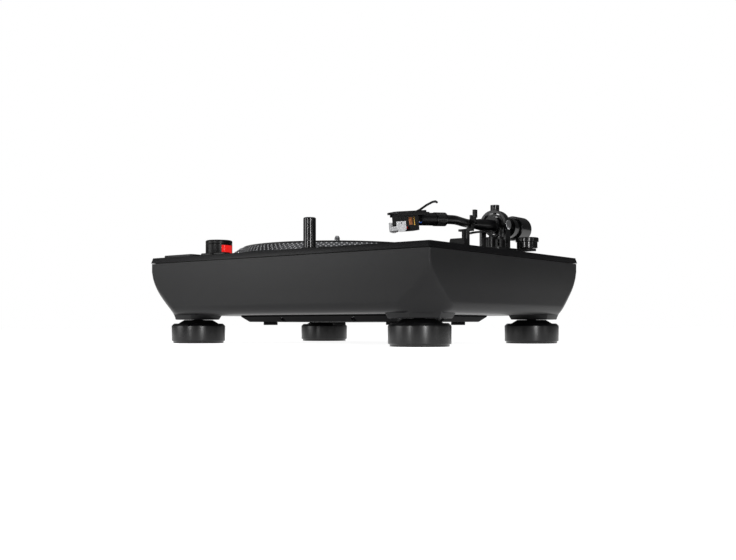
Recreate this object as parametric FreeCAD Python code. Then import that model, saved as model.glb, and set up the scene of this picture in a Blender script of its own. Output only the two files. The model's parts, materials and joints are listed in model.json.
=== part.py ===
"""Direct-drive record player: a flared plinth, a heavy platter and an S-shaped tonearm.

Millimetres. X runs along the front towards the arm side, Y towards the back, Z up.
The origin is on the surface the feet stand on, under the middle of the body.
"""
import FreeCAD, Part
import math
import os

V = FreeCAD.Vector
UP = V(0, 0, 1)
X_AXIS = V(1, 0, 0)
Y_AXIS = V(0, 1, 0)

# ---- body -------------------------------------------------------------------
width = 458.0
depth = 354.0
deck_top = 114.7
deck_thickness = 7.0
deck_bevel = 1.75
deck_corner_radius = 3.0
lip = 1.0
deck_gap = 0.8
wall = 3.2
wall_bottom = 37.5
wall_bottom_radius = 12.0
corner_bottom = 31.7
corner_chamfer = 33.2
pedestal_length_x = 58.0
pedestal_length_y = 56.0
pedestal_inset = 10.0
pedestal_slant = 2.5
fastener_clearance = 0.3
moving_gap = 0.4
running_clearance = 0.05

# ---- base pan ---------------------------------------------------------------
pan_width = 264.0
pan_depth = 202.0
pan_slope = 8.0
pan_bottom = 28.7
pan_wall = 2.0
pan_clearance = 2.0
pan_flange = 10.0
pad_radius = 9.5
pad_height = 4.2
pad_spacing_x = 208.0
pad_spacing_y = 146.0
screw_radius = 1.5
screw_head_radius = 3.0
screw_head_height = 1.8

# ---- feet -------------------------------------------------------------------
foot_spacing_x = 366.8
foot_spacing_y = 262.8
foot_radius = 35.9
foot_bottom_inset = 2.0
foot_bottom_step = 2.5
foot_side_top = 23.0
foot_top = 26.5
foot_top_radius = 32.7
neck_low_radius = 27.0
neck_high_radius = 19.0
neck_height = 5.2
foot_stud_radius = 6.0
foot_stud_length = 22.0

# ---- platter and motor ------------------------------------------------------
spindle_x = -40.0
spindle_y = -8.5
platter_radius = 145.0
platter_bottom = 113.0
platter_rim_height = 4.4
platter_top = 126.8
platter_top_radius = 131.5
platter_web = 4.5
platter_rim_wall = 9.0
mat_radius = 128.0
mat_thickness = 2.5
well_depth = 2.5
well_margin = 3.0
spindle_radius = 3.6
spindle_shoulder_radius = 4.4
spindle_tip = 147.0
spindle_hub_radius = 11.0
shaft_radius = 5.0
shaft_length = 48.0
magnet_inner_radius = 52.0
magnet_wall = 7.0
magnet_bottom = 102.0
motor_opening_radius = 66.0
bearing_radius = 12.0
bearing_top = 109.0
board_thickness = 1.6
coil_count = 9
coil_pitch_radius = 37.0
coil_radius = 10.0
coil_height = 9.0

# ---- strobe tower, power switch ----------------------------------------------
tower_x = -198.0
tower_y = -80.0
tower_radius = 18.7
tower_top = 144.0
tower_flare = 1.5
switch_height = 5.5
lens_bottom = 122.0
lens_top = 136.6
lens_half_angle = 32.0
lens_depth = 3.0

# ---- buttons ----------------------------------------------------------------
start_x = -187.0
start_y = -148.0
start_length = 56.0
start_width = 36.0
button_rise = 3.6
button_travel = 1.5
button_skirt = 2.0
speed_x = -134.0
speed_y = -157.5
speed_length = 20.0
speed_width = 12.0
speed_pitch = 24.0

# ---- pitch fader ------------------------------------------------------------
fader_x = 205.0
fader_y = -84.0
fader_half_travel = 50.0
fader_slot_width = 5.0
fader_cap_length = 22.0
fader_cap_width = 10.0
fader_cap_top = 124.0
fader_stem_width = 3.4
fader_body_width = 18.0
fader_body_height = 12.0
reset_y = -157.0
reset_rise = 0.8

# ---- target light -----------------------------------------------------------
light_x = 46.7
light_y = -163.5
light_radius = 7.5
light_top = 152.0
light_length = 68.0
light_bush_radius = 10.2
light_bush_wall = 1.0
light_button_offset = 19.0
light_button_radius = 4.2

# ---- tonearm ----------------------------------------------------------------
pivot_x = 148.0
pivot_y = 95.0
pivot_z = 157.3
ring_radius = 38.0
ring_bottom = 115.5
ring_top = 121.6
collar_radius = 26.5
base_top = 125.0
base_radius = 33.0
arch_depth = 12.0
knob_radius = 5.9
overall_height = 184.6
housing_radius = 11.4
housing_front_length = 9.0
housing_back_length = 8.0
sleeve_radius = 7.4
sleeve_length = 30.0
sleeve_taper = 20.0
gimbal_gap = 0.8
gimbal_wall = 2.8
gimbal_inner = housing_radius + gimbal_gap
gimbal_radius = gimbal_inner + gimbal_wall
arch_gap = 1.8
arch_wall = 3.4
arch_inner = gimbal_radius + arch_gap
arch_outer = arch_inner + arch_wall
drum_gap = 1.3
drum_top = pivot_z - gimbal_radius - drum_gap
gimbal_depth = 7.0
pivot_pin_radius = 2.0
tube_radius = 5.5
tube_wall = 0.9
weight_radius = 16.8
weight_front = 126.0
weight_length = 41.0
weight_bore = 6.6
dial_radius = 14.0
dial_length = 14.0
stub_radius = 5.0
weight_back_wall = 2.0
anti_x = 191.0
anti_y = 105.0
anti_radius = 15.0
anti_bottom = 125.5
anti_split = 133.5
anti_top = 139.3
rest_x = 151.9
rest_y = 16.0
cue_x = 171.0
cue_y = 70.0
cue_axis_z = 131.5
cue_top = 151.0
lifter_x = 160.0
lifter_y = 64.0
lifter_radius = 2.5
lock_angle = 60.0
lock_pitch_radius = 45.5
lock_boss_radius = 4.5
lock_length = 14.0
head_x = 166.0
head_y = -74.0
head_drop_deg = 2.6
shell_pitch_deg = 3.6
shell_lift = 8.0


def cylinder(radius, height, x=0.0, y=0.0, z=0.0, axis=UP):
    return Part.makeCylinder(radius, height, V(x, y, z), axis)


def tube(outer, inner, height, x=0.0, y=0.0, z=0.0, axis=UP):
    return cylinder(outer, height, x, y, z, axis).cut(cylinder(inner, height, x, y, z, axis))


def cone(low_radius, high_radius, height, x, y, z):
    return Part.makeCone(low_radius, high_radius, height, V(x, y, z), UP)


def block(length, breadth, height, x, y, z):
    """A box centred on (x, y), standing on z."""
    return Part.makeBox(length, breadth, height, V(x - length / 2, y - breadth / 2, z))


def rounded_block(length, breadth, height, radius, x, y, z):
    solid = block(length, breadth, height, x, y, z)
    upright = [e for e in solid.Edges if abs(e.tangentAt(e.FirstParameter).z) > 0.99]
    return solid.makeFillet(radius, upright)


def revolve(profile, x, y):
    """Turns a closed (radius, z) outline about the upright line through (x, y)."""
    wire = Part.makePolygon([V(x + r, y, z) for r, z in profile + profile[:1]])
    return Part.Face(wire).revolve(V(x, y, 0), UP, 360)


def frustum(length, breadth, shrink, z_low, z_high):
    """A rectangular block about the Z axis whose top is smaller by shrink on each side."""
    wires = []
    for inset, z in ((0.0, z_low), (shrink, z_high)):
        a = length / 2 - inset
        b = breadth / 2 - inset
        wires.append(Part.makePolygon([V(-a, -b, z), V(a, -b, z), V(a, b, z), V(-a, b, z), V(-a, -b, z)]))
    return Part.makeLoft(wires, True, True)


def join(*shapes):
    return shapes[0].fuse(list(shapes[1:])).removeSplitter()


def group(shapes):
    return Part.makeCompound(shapes)


def corners(spacing_x, spacing_y):
    return [(sx * spacing_x / 2, sy * spacing_y / 2) for sx in (-1, 1) for sy in (-1, 1)]


def polar(x, y, radius, degrees):
    angle = math.radians(degrees)
    return x + radius * math.cos(angle), y + radius * math.sin(angle)


parts = {}

# ---- plinth: straight walls whose corners flare in to the feet ---------------
deck_bottom = deck_top - deck_thickness
plinth_width = width - 2 * lip
plinth_depth = depth - 2 * lip
plinth_top = deck_bottom - deck_gap
cut_reach = 90.0


def corner_cutter(sx, sy, inward):
    """The space outside one flared corner; inward moves it in by a wall."""
    out = V(sx, sy, 0).normalize()
    along = V(-sy, sx, 0).normalize()
    corner = V(sx * plinth_width / 2, sy * plinth_depth / 2, 0)

    def at(depth_in, z):
        return corner - out * (depth_in + inward) + UP * z - along * cut_reach

    flare = Part.BezierCurve()
    flare.setPoles([at(0, plinth_top + 0.2), at(0, 62), at(corner_chamfer - 1.2, 49), at(corner_chamfer, corner_bottom)])
    low = at(corner_chamfer, corner_bottom - 5)
    edges = [
        flare.toShape(),
        Part.makeLine(at(corner_chamfer, corner_bottom), low),
        Part.makeLine(low, low + out * cut_reach),
        Part.makeLine(low + out * cut_reach, at(-cut_reach, plinth_top + 0.2)),
        Part.makeLine(at(-cut_reach, plinth_top + 0.2), at(0, plinth_top + 0.2)),
    ]
    face = Part.Face(Part.Wire(Part.__sortEdges__(edges)))
    return face.extrude(along * (2 * cut_reach))


def plinth_body(inset, bottom, pedestal_bottom, top):
    """The plinth's outside, or with an inset its inside."""
    body = block(plinth_width - 2 * inset, plinth_depth - 2 * inset, top - bottom, 0, 0, bottom)
    low = [e for e in body.Edges if abs(e.CenterOfMass.z - bottom) < 1e-6]
    body = body.makeFillet(wall_bottom_radius - inset, low)
    for sx, sy in corners(plinth_width - pedestal_length_x - 2 * pedestal_inset,
                          plinth_depth - pedestal_length_y - 2 * pedestal_inset):
        pedestal = frustum(pedestal_length_x - 2 * (inset + pedestal_slant),
                           pedestal_length_y - 2 * (inset + pedestal_slant),
                           -2 * pedestal_slant, pedestal_bottom, pedestal_bottom + 2 * (wall_bottom - corner_bottom))
        pedestal.translate(V(sx, sy, 0))
        body = body.fuse(pedestal)
    for sx, sy in corners(2, 2):
        body = body.cut(corner_cutter(sx, sy, inset))
    return body


outside = plinth_body(0, wall_bottom, corner_bottom, plinth_top)
inside = plinth_body(wall, wall_bottom + wall, corner_bottom + wall, plinth_top + 1)
pan_opening = block(pan_width - 2 * pan_flange, pan_depth - 2 * pan_flange, 30, 0, 0, wall_bottom - 5)
plinth = outside.cut(inside).cut(pan_opening)
stud_hole_radius = foot_stud_radius + moving_gap
boss_height = 26.0
for fx, fy in corners(foot_spacing_x, foot_spacing_y):
    boss = cylinder(14, boss_height, fx, fy, corner_bottom)
    plinth = plinth.fuse(boss)
for fx, fy in corners(foot_spacing_x, foot_spacing_y):
    plinth = plinth.cut(cylinder(stud_hole_radius, 60, fx, fy, corner_bottom - 1))
for sx, sy in corners(2, 2):
    plinth = plinth.cut(corner_cutter(sx, sy, 0))

# ---- base pan, its screws and its pads ----------------------------------------
pan_top = wall_bottom
pan = frustum(pan_width, pan_depth, 0.0, pan_top - pan_wall, pan_top)
dish_margin = 2 * (pan_flange + pan_clearance)
dish = block(pan_width - dish_margin, pan_depth - dish_margin, pan_top - pan_bottom, 0, 0, pan_bottom + pan_wall)
slope = frustum(pan_width, pan_depth, pan_slope, pan_top - pan_wall, pan_bottom)
pan = pan.fuse(slope).cut(dish)
pan_screw_pitch = 118.8
pan_screw_places = corners(pan_screw_pitch, pan_depth - pan_flange)
pan_screw_places += [(sx * (pan_width - pan_flange) / 2, 0) for sx in (-1, 1)]
pan_screws = []
screw_seat = pan_top - pan_wall
for px, py in pan_screw_places:
    hole = cylinder(screw_radius + fastener_clearance, 20, px, py, pan_bottom - 5)
    recess = cylinder(screw_head_radius + fastener_clearance, 20, px, py, screw_seat - 20)
    pan = pan.cut(hole).cut(recess)
    plinth = plinth.cut(cylinder(screw_radius, wall, px, py, wall_bottom))
    head = cylinder(screw_head_radius, screw_head_height, px, py, screw_seat - screw_head_height)
    pan_screws.append(head.fuse(cylinder(screw_radius, pan_wall + wall - 0.5, px, py, screw_seat)))
parts["pan_screws"] = group(pan_screws)
parts["pan_pads"] = group([cylinder(pad_radius, pad_height, px, py, pan_bottom - pad_height)
                           for px, py in corners(pad_spacing_x, pad_spacing_y)])
parts["base_pan"] = pan

# ---- feet -----------------------------------------------------------------------
foot_names = {(-1, -1): "front_left", (1, -1): "front_right", (-1, 1): "back_left", (1, 1): "back_right"}
for (sx, sy), name in foot_names.items():
    fx = sx * foot_spacing_x / 2
    fy = sy * foot_spacing_y / 2
    low = foot_radius - foot_bottom_inset
    puck = revolve([(0, 0), (low, 0), (low, foot_bottom_step), (foot_radius, foot_bottom_step + 0.6),
                    (foot_radius, foot_side_top), (foot_top_radius, foot_top), (0, foot_top)], fx, fy)
    parts["foot_" + name] = puck
    neck = cone(neck_low_radius, neck_high_radius, neck_height - 0.4, fx, fy, foot_top)
    stud = cylinder(foot_stud_radius, neck_height + foot_stud_length, fx, fy, foot_top)
    parts["foot_mount_" + name] = join(neck, stud)

# ---- deck -----------------------------------------------------------------------
deck = frustum(width, depth, deck_bevel, deck_bottom, deck_top)
upright = [e for e in deck.Edges if e.Length < 12 and abs(e.CenterOfMass.z - (deck_bottom + deck_top) / 2) < 1]
deck = deck.makeFillet(deck_corner_radius, upright)
well_radius = platter_radius + well_margin
well_floor = deck_top - well_depth
deck = deck.cut(cylinder(well_radius, 20, spindle_x, spindle_y, well_floor))
deck = deck.cut(cylinder(motor_opening_radius, 40, spindle_x, spindle_y, deck_bottom - 10))
skirt_height = 3.0
skirt = block(plinth_width - 2 * wall - 1, plinth_depth - 2 * wall - 1, skirt_height, 0, 0, deck_bottom - skirt_height)
skirt = skirt.cut(block(plinth_width - 4 * wall, plinth_depth - 4 * wall, skirt_height, 0, 0, deck_bottom - skirt_height))
deck = deck.fuse(skirt)

# ---- motor bay under the platter --------------------------------------------------
bay_wall = 2.5
bay_floor = 88.0
board_z = bay_floor + bay_wall
bay = revolve([(bearing_radius, bay_floor), (motor_opening_radius + bay_wall, bay_floor),
               (motor_opening_radius + bay_wall, deck_bottom), (motor_opening_radius, deck_bottom),
               (motor_opening_radius, bay_floor + bay_wall), (bearing_radius, bay_floor + bay_wall)],
              spindle_x, spindle_y)
deck = deck.fuse(bay)
stator = tube(motor_opening_radius - 2, bearing_radius + 0.3, board_thickness, spindle_x, spindle_y, board_z)
for i in range(coil_count):
    cx, cy = polar(spindle_x, spindle_y, coil_pitch_radius, 360 * i / coil_count)
    stator = stator.fuse(tube(coil_radius, 3.0, coil_height, cx, cy, board_z + board_thickness))
parts["motor_stator"] = stator.removeSplitter()
shaft_bottom = bearing_top + 4 - shaft_length
bearing = revolve([(0, shaft_bottom - 4), (bearing_radius, shaft_bottom - 4), (bearing_radius, bearing_top),
                   (0, bearing_top)], spindle_x, spindle_y)
bearing = bearing.cut(cylinder(shaft_radius + running_clearance, 80, spindle_x, spindle_y, shaft_bottom - 0.2))
parts["spindle_bearing"] = bearing

# ---- platter, magnet, mat and spindle -----------------------------------------------
rim_top = platter_bottom + platter_rim_height
web_bottom = platter_top - platter_web
rim_inner = platter_radius - platter_rim_wall
platter = revolve([(spindle_shoulder_radius, web_bottom), (rim_inner - 4, web_bottom), (rim_inner, platter_bottom),
                   (platter_radius - 0.8, platter_bottom), (platter_radius, platter_bottom + 0.8),
                   (platter_radius, rim_top), (platter_top_radius, platter_top), (spindle_shoulder_radius, platter_top)],
                  spindle_x, spindle_y)
parts["rotor_magnet"] = tube(magnet_inner_radius + magnet_wall, magnet_inner_radius, web_bottom - magnet_bottom,
                             spindle_x, spindle_y, magnet_bottom)
spindle = cylinder(shaft_radius, bearing_top + 1.0 - shaft_bottom, spindle_x, spindle_y, shaft_bottom)
spindle = spindle.fuse(cylinder(spindle_hub_radius, web_bottom - bearing_top - 1.0, spindle_x, spindle_y,
                                bearing_top + 1.0))
tip_height = 3.0
mat_top = platter_top + mat_thickness
spindle = spindle.fuse(cylinder(spindle_shoulder_radius, mat_top - web_bottom, spindle_x, spindle_y, web_bottom))
spindle = spindle.fuse(cylinder(spindle_radius, spindle_tip - tip_height - mat_top, spindle_x, spindle_y, mat_top))
spindle = spindle.fuse(cone(spindle_radius, spindle_radius - 1.6, tip_height, spindle_x, spindle_y,
                            spindle_tip - tip_height))
parts["spindle"] = spindle.removeSplitter()
parts["platter"] = platter
mat_hole_clearance = 0.2
parts["slipmat"] = tube(mat_radius, spindle_shoulder_radius + mat_hole_clearance, mat_thickness, spindle_x, spindle_y, platter_top)

# ---- strobe tower and power switch ----------------------------------------------------
switch_bottom = tower_top - switch_height
tower = revolve([(0, deck_top), (tower_radius + tower_flare, deck_top), (tower_radius + tower_flare, deck_top + 2),
                 (tower_radius, deck_top + 5), (tower_radius, switch_bottom - moving_gap),
                 (0, switch_bottom - moving_gap)], tower_x, tower_y)
shell_cut = cylinder(tower_radius - 2.5, switch_bottom - 2.5 - deck_top - 3, tower_x, tower_y, deck_top + 3)
tower = tower.cut(shell_cut)


def window(inner, outer, z_low, z_high, half_angle):
    """A curved window in the tower's wall that faces the platter."""
    ring = tube(outer, inner, z_high - z_low, tower_x, tower_y, z_low)
    reach = outer * 1.5
    spread = reach * math.tan(math.radians(half_angle))
    wedge = Part.makePolygon([V(tower_x, tower_y, z_low), V(tower_x + reach, tower_y - spread, z_low),
                              V(tower_x + reach, tower_y + spread, z_low), V(tower_x, tower_y, z_low)])
    return ring.common(Part.Face(wedge).extrude(UP * (z_high - z_low)))


tower = tower.cut(window(tower_radius - 4, tower_radius + 1, lens_bottom, lens_top, lens_half_angle))
parts["strobe_lens"] = window(tower_radius - lens_depth, tower_radius, lens_bottom, lens_top, lens_half_angle)
post_radius = 4.0
tower = tower.cut(cylinder(post_radius + moving_gap, 20, tower_x, tower_y, switch_bottom - 8))
parts["strobe_housing"] = tower
cap = revolve([(0, switch_bottom), (tower_radius, switch_bottom), (tower_radius, tower_top - 1.2),
               (tower_radius - 1.2, tower_top), (0, tower_top)], tower_x, tower_y)
cap = cap.fuse(cylinder(post_radius, 5, tower_x, tower_y, switch_bottom - 5))
index_notch = block(6, 2, 2, tower_x + tower_radius - 5, tower_y, tower_top - 1)
parts["power_switch"] = cap.cut(index_notch)

# ---- buttons: each slides in a pocket of the deck --------------------------------------


def button(x, y, length, breadth, top, corner):
    """A push button whose skirt runs in a hole through the deck."""
    solid = rounded_block(length, breadth, top - deck_bottom + button_skirt, corner, x, y, deck_bottom - button_skirt)
    rim = [e for e in solid.Edges if abs(e.CenterOfMass.z - top) < 1e-6]
    return solid.makeFillet(min(1.0, corner / 2), rim)


button_gap = 0.5
button_specs = {
    "start_stop_button": (start_x, start_y, start_length, start_width, 4.0, button_rise),
    "speed_33_button": (speed_x, speed_y, speed_length, speed_width, 2.0, button_rise),
    "speed_45_button": (speed_x + speed_pitch, speed_y, speed_length, speed_width, 2.0, button_rise),
    "pitch_reset_button": (fader_x, reset_y, speed_width, speed_width, 2.0, reset_rise),
}
for name, (bx, by, length, breadth, corner, rise) in button_specs.items():
    parts[name] = button(bx, by, length, breadth, deck_top + rise, corner)
    hole = rounded_block(length + 2 * button_gap, breadth + 2 * button_gap, 40, corner + button_gap,
                         bx, by, deck_bottom - 20)
    deck = deck.cut(hole)

# ---- control board, transformer, rear panel ----------------------------------------------
main_board_z = 80.0
transformer_x = -90.0
transformer_y = 126.0
deck_posts = ((-207, 20), (207, 20), (-150, 158), (110, 150), (0, -156), (125, -156))
board = block(150, 58, board_thickness, -120, -140, main_board_z)
tact_top = deck_bottom - button_skirt - button_travel - moving_gap
for name in ("start_stop_button", "speed_33_button", "speed_45_button"):
    bx, by = button_specs[name][:2]
    board = board.fuse(block(6, 6, tact_top - main_board_z - board_thickness, bx, by, main_board_z + board_thickness))
parts["control_board"] = board.removeSplitter()
floor_top = wall_bottom + wall
for x, y in ((-145, -160), (-60, -160), (-145, -118), (-60, -118)):
    plinth = plinth.fuse(cylinder(4, main_board_z - floor_top + 1, x, y, floor_top - 1))
for x, y in deck_posts:
    plinth = plinth.fuse(cylinder(5, deck_bottom - floor_top + 1, x, y, floor_top - 1))
core = block(50, 42, 40, transformer_x, transformer_y, floor_top)
winding = block(34, 58, 28, transformer_x, transformer_y, floor_top + 6)
parts["transformer"] = join(core, winding)

panel_width = 150.0
panel_height = 34.0
panel_x = 60.0
panel_z = 62.0
back_face = plinth_depth / 2
panel_recess = 16.0
panel_thickness = 2.0
plinth = plinth.cut(Part.makeBox(panel_width, wall + 2, panel_height,
                                 V(panel_x - panel_width / 2, back_face - wall - 1, panel_z)))
panel_y = back_face - panel_recess
tray = Part.makeBox(panel_width + 6, back_face - wall - panel_y, panel_height + 6,
                    V(panel_x - panel_width / 2 - 3, panel_y, panel_z - 3))
tray = tray.cut(Part.makeBox(panel_width, 30, panel_height,
                             V(panel_x - panel_width / 2, panel_y + panel_thickness, panel_z)))
socket_z = panel_z + panel_height / 2
inlet_x = panel_x - 45
inlet_width = 28.0
inlet_height = 20.0
inlet_depth = 18.0
socket_xs = (panel_x + 8, panel_x + 26)
ground_x = panel_x + 50
tray = tray.cut(Part.makeBox(inlet_width, 20, inlet_height,
                             V(inlet_x - inlet_width / 2, panel_y - 5, socket_z - inlet_height / 2)))
for sx in socket_xs:
    tray = tray.cut(cylinder(4.2, 20, sx, panel_y - 5, socket_z, Y_AXIS))
tray = tray.cut(cylinder(2.1, 20, ground_x, panel_y - 5, socket_z, Y_AXIS))
parts["rear_panel"] = tray
inlet = Part.makeBox(inlet_width, inlet_depth, inlet_height,
                     V(inlet_x - inlet_width / 2, panel_y + panel_thickness - inlet_depth, socket_z - inlet_height / 2))
inlet_wall = 2.0
inlet = inlet.cut(Part.makeBox(inlet_width - 2 * inlet_wall, inlet_depth - inlet_wall, inlet_height - 2 * inlet_wall,
                               V(inlet_x - inlet_width / 2 + inlet_wall,
                                 panel_y + panel_thickness - inlet_depth + inlet_wall,
                                 socket_z - inlet_height / 2 + inlet_wall)))
blade = 1.8
blade_height = 3.0
for dx in (-7, 0, 7):
    blade_z = socket_z + 1 if dx == 0 else socket_z - blade_height
    inlet = inlet.fuse(Part.makeBox(blade, inlet_depth - 4, blade_height,
                                    V(inlet_x + dx - blade / 2, panel_y + panel_thickness - inlet_depth, blade_z)))
parts["power_inlet"] = inlet
sockets = []
for sx in socket_xs:
    socket = tube(4.15, 1.6, 12, sx, panel_y + panel_thickness - 4, socket_z, Y_AXIS)
    flange = tube(6.0, 1.6, 1.5, sx, panel_y + panel_thickness, socket_z, Y_AXIS)
    back = cylinder(4.15, 4, sx, panel_y + panel_thickness - 8, socket_z, Y_AXIS)
    sockets.append(join(socket, flange, back))
parts["phono_sockets"] = group(sockets)
ground = join(cylinder(2.0, 14, ground_x, panel_y - 4, socket_z, Y_AXIS),
              cylinder(5.0, 5, ground_x, panel_y + panel_thickness + 1.5, socket_z, Y_AXIS))
parts["ground_terminal"] = ground

# ---- pitch fader ------------------------------------------------------------------------------
slot_length = 2 * fader_half_travel + 8
deck = deck.cut(block(fader_slot_width, slot_length, 40, fader_x, fader_y, deck_bottom - 20))
rail = block(fader_body_width, slot_length + 16, fader_body_height, fader_x, fader_y,
             deck_bottom - fader_body_height)
rail = rail.cut(block(fader_slot_width, slot_length, fader_body_height - 2, fader_x, fader_y,
                      deck_bottom - fader_body_height + 2))
parts["fader_body"] = rail
cap_bottom = deck_top + moving_gap
fader_cap = frustum(fader_cap_length, fader_cap_width, 1.5, 0, fader_cap_top - cap_bottom)
fader_cap.translate(V(fader_x, fader_y, cap_bottom))
fader_groove = block(fader_cap_length, 1.2, 1.0, fader_x, fader_y, fader_cap_top - 1.0)
stem = block(fader_stem_width, 5, cap_bottom - deck_bottom + 8, fader_x, fader_y, deck_bottom - 8)
parts["fader_knob"] = fader_cap.cut(fader_groove).fuse(stem)

# ---- pop-up target light and its release ---------------------------------------------------------
light_bottom = light_top - light_length
bush_bore = light_radius + moving_gap
deck = deck.cut(cylinder(bush_bore + light_bush_wall, 40, light_x, light_y, deck_bottom - 20))
bush_flange = 1.2
bush = tube(light_bush_radius, bush_bore, bush_flange, light_x, light_y, deck_top)
bush = bush.fuse(tube(bush_bore + light_bush_wall, bush_bore, deck_thickness + 14, light_x, light_y, deck_bottom - 14))
parts["light_bush"] = bush.removeSplitter()
light = cylinder(light_radius, light_length, light_x, light_y, light_bottom)
light_rim = [e for e in light.Edges if abs(e.CenterOfMass.z - light_top) < 1e-6]
light = light.makeFillet(1.5, light_rim)
lamp_z = light_top - 12
lamp = cylinder(3.0, 3.0, light_x - light_radius + 2.2, light_y, lamp_z, V(-1, 0, 0))
parts["target_light"] = light.cut(lamp)
release_x = light_x + light_button_offset
deck = deck.cut(cylinder(light_button_radius + button_gap, 40, release_x, light_y, deck_bottom - 20))
parts["light_release_button"] = cylinder(light_button_radius, deck_thickness + 4, release_x, light_y, deck_bottom - 2)

# ---- tonearm base: fixed collar, height ring and the column that it lifts --------------------------
column_radius = 19.0
collar_bottom = 84.0
deck = deck.cut(cylinder(collar_radius, 40, pivot_x, pivot_y, deck_bottom - 20))
collar = tube(collar_radius + 8, column_radius + moving_gap, 3.0, pivot_x, pivot_y, deck_bottom - 3.0)
collar = collar.fuse(tube(collar_radius, column_radius + moving_gap, deck_top + 6 - collar_bottom,
                          pivot_x, pivot_y, collar_bottom))
parts["arm_collar"] = collar.removeSplitter()
ring = tube(ring_radius, collar_radius + moving_gap, ring_top - ring_bottom, pivot_x, pivot_y, ring_bottom)
knurl_count = 60
flutes = []
for i in range(knurl_count):
    kx, ky = polar(pivot_x, pivot_y, ring_radius + 0.5, 360 * i / knurl_count)
    flutes.append(cylinder(1.1, ring_top - ring_bottom, kx, ky, ring_bottom))
parts["height_ring"] = ring.cut(group(flutes))
base_bottom = ring_top + moving_gap
base_plate = base_top - base_bottom
column_bore = 13.0
base = cylinder(base_radius, base_plate, pivot_x, pivot_y, base_bottom)
base = base.fuse(cylinder(column_radius, base_bottom - collar_bottom - 8, pivot_x, pivot_y, collar_bottom + 8))
base = base.cut(cylinder(column_bore, base_bottom - collar_bottom, pivot_x, pivot_y, collar_bottom))
wing_length = anti_x - pivot_x + 8
base = base.fuse(block(wing_length, 20, base_plate, pivot_x + wing_length / 2, anti_y, base_bottom))
cue_wing = rounded_block(26, 38, base_plate, 5, (lifter_x + cue_x) / 2 + 1, cue_y, base_bottom)
cue_bracket_height = cue_axis_z + 4.5 - base_top
bracket = block(9, 10, cue_bracket_height, cue_x, cue_y, base_top)
cue_plate = 2.0
cue_hub = 3.6
cue_pin = 1.5
bracket = bracket.cut(block(cue_plate + 2 * moving_gap, 12, 20, cue_x, cue_y, cue_axis_z - cue_hub - moving_gap))
base = base.fuse(cue_wing).fuse(bracket)
base = base.cut(cylinder(cue_pin + running_clearance, 9, cue_x - 4.5, cue_y, cue_axis_z, X_AXIS))
sleeve_top = 139.0
base = base.fuse(cylinder(4.6, sleeve_top - base_top, lifter_x, lifter_y, base_top))
base = base.cut(cylinder(lifter_radius + running_clearance, 40, lifter_x, lifter_y, base_bottom + 1.0))
drum_radius = arch_inner - 0.2
drum_bore = 3.5
base = base.fuse(cylinder(drum_radius, drum_top - base_top, pivot_x, pivot_y, base_top))
base = base.cut(cylinder(pivot_pin_radius + running_clearance, drum_bore, pivot_x, pivot_y, drum_top - drum_bore))
anti_post = 4.0
base = base.fuse(cylinder(anti_post, anti_bottom + 6 - base_top, anti_x, anti_y, base_top))
parts["arm_base"] = base.removeSplitter()

# ---- cueing lever and the curved bar it raises under the tube ------------------------------------
lever = cylinder(cue_hub, cue_plate, cue_x - cue_plate / 2, cue_y, cue_axis_z, X_AXIS)
lever = lever.fuse(block(cue_plate, 5.0, cue_top - cue_axis_z, cue_x, cue_y, cue_axis_z))
lever = lever.fuse(cylinder(cue_pin, 8.6, cue_x - 4.3, cue_y, cue_axis_z, X_AXIS))
parts["cue_lever"] = lever.removeSplitter()
tube_slope = math.tan(math.radians(head_drop_deg))


def tube_z(y):
    """Height of the arm tube's middle line at depth y."""
    return pivot_z - (pivot_y - y) * tube_slope


lifter_top = tube_z(lifter_y) - sleeve_radius - 0.6
lifter_bar = 2.5
lifter_reach = math.hypot(lifter_x - pivot_x, lifter_y - pivot_y)
lifter_start = math.degrees(math.atan2(lifter_y - pivot_y, lifter_x - pivot_x))
lifter_span = 68.0
outline = Part.Face(Part.makePolygon([V(lifter_reach - 1.6, 0, 0), V(lifter_reach + 1.6, 0, 0),
                                      V(lifter_reach + 1.6, 0, lifter_bar), V(lifter_reach - 1.6, 0, lifter_bar),
                                      V(lifter_reach - 1.6, 0, 0)]))
bar = outline.revolve(V(0, 0, 0), UP, lifter_span)
bar.rotate(V(0, 0, 0), UP, lifter_start - lifter_span)
bar.translate(V(pivot_x, pivot_y, lifter_top - lifter_bar))
lifter_bottom = base_top + 3.5
bar = bar.fuse(cylinder(lifter_radius, lifter_top - lifter_bottom, lifter_x, lifter_y, lifter_bottom))
parts["arm_lifter"] = bar.removeSplitter()

# ---- lock lever beside the height ring --------------------------------------------------------
lock_x, lock_y = polar(pivot_x, pivot_y, lock_pitch_radius, lock_angle)
lock_z = deck_top + moving_gap
lock = cylinder(lock_boss_radius, 5.0, lock_x, lock_y, lock_z)
lock_pin = 2.5
arm_shape = Part.makeBox(lock_length, 5.0, 3.0, V(0, -2.5, 0))
arm_shape.rotate(V(0, 0, 0), UP, lock_angle)
arm_shape.translate(V(lock_x, lock_y, lock_z + 1.0))
lock = lock.fuse(arm_shape).fuse(cylinder(lock_pin, deck_thickness + 2, lock_x, lock_y, lock_z - deck_thickness - 2))
parts["base_lock_lever"] = lock.removeSplitter()
deck = deck.cut(cylinder(lock_pin + running_clearance, 20, lock_x, lock_y, deck_bottom - 10))

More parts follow.
